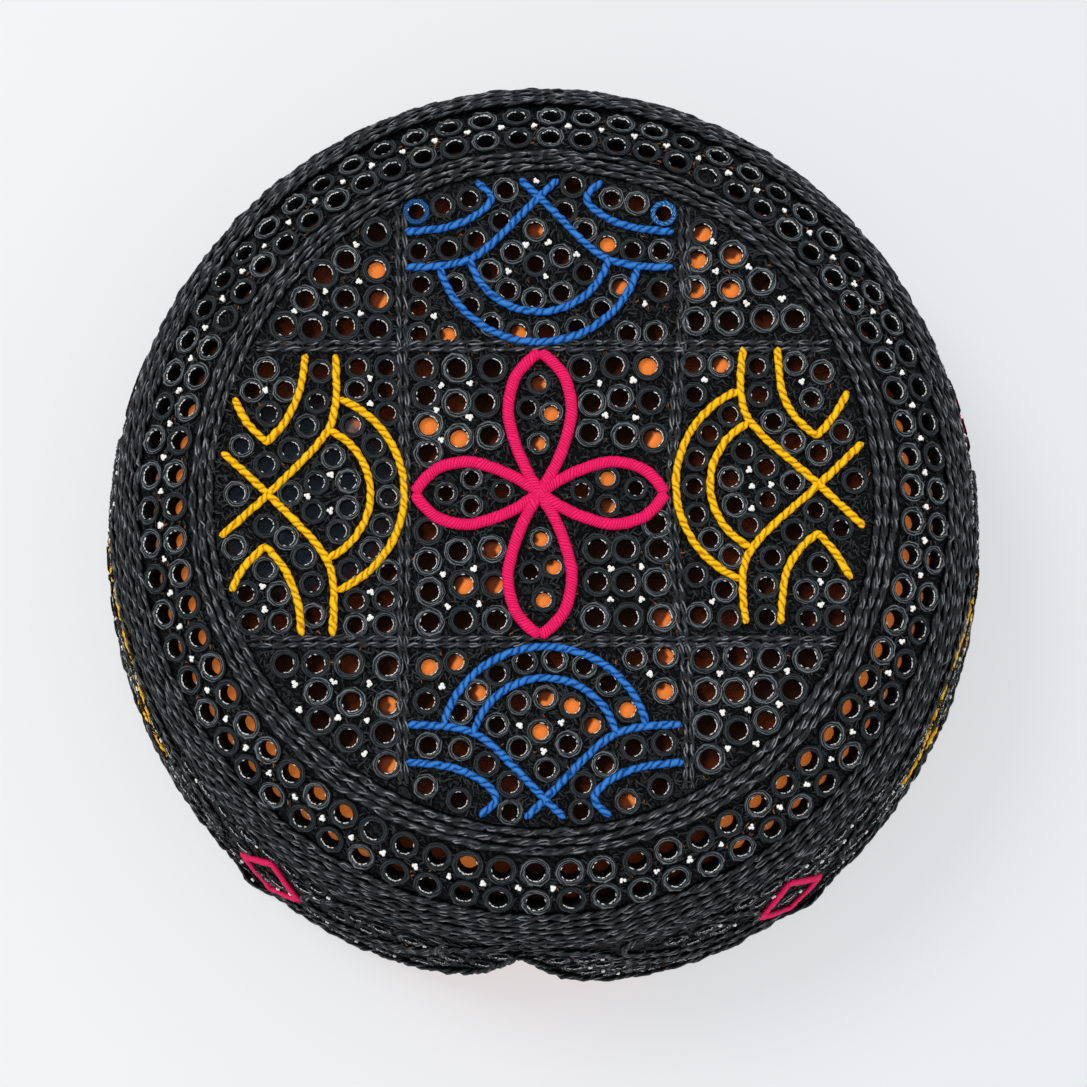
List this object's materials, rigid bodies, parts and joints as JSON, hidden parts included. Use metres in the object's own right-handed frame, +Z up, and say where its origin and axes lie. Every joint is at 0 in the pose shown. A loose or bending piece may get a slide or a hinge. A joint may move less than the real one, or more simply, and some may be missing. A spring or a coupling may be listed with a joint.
{
  "type": "sindhi cap",
  "caption": "Round flat-topped cap of black eyelet embroidery with an orange lining, a pointed forehead opening and raised cords in magenta, yellow and blue.",
  "frame": {"origin": "middle of the rim's plane, on the surface that the cap rests on", "axes": "+Z up through the middle of the crown, -Y towards the pointed opening over the forehead, +X to the right as seen from above with the front at the bottom"},
  "size_m": [0.1855, 0.1867, 0.0625],
  "materials": {
    "black_thread": "glossy black buttonhole and chain stitch",
    "orange_cotton": "plain matt cotton",
    "magenta_thread": "satin wrapped cord",
    "yellow_thread": "plaited cord",
    "blue_thread": "plaited cord"
  },
  "bodies": {
    "root": {"back_diamond": "magenta_thread", "back_hook_cord_1": "blue_thread", "back_hook_cord_2": "blue_thread", "back_motif_cord": "blue_thread", "band_ropes": "black_thread", "crown_panel": "black_thread", "crown_ropes": "black_thread", "flower_cord": "magenta_thread", "front_hook_cord_1": "blue_thread", "front_hook_cord_2": "blue_thread", "front_motif_cord": "blue_thread", "left_back_band_knot": "blue_thread", "left_back_diamond": "magenta_thread", "left_band_knot": "yellow_thread", "left_front_diamond": "magenta_thread", "left_hook_cord_1": "yellow_thread", "left_hook_cord_2": "yellow_thread", "left_motif_cord": "yellow_thread", "lining": "orange_cotton", "right_back_band_knot": "blue_thread", "right_back_diamond": "magenta_thread", "right_band_knot": "yellow_thread", "right_front_diamond": "magenta_thread", "right_hook_cord_1": "yellow_thread", "right_hook_cord_2": "yellow_thread", "right_motif_cord": "yellow_thread", "rim_binding": "black_thread", "shoulder_ring": "black_thread", "side_band": "black_thread"}
  },
  "joints": []
}
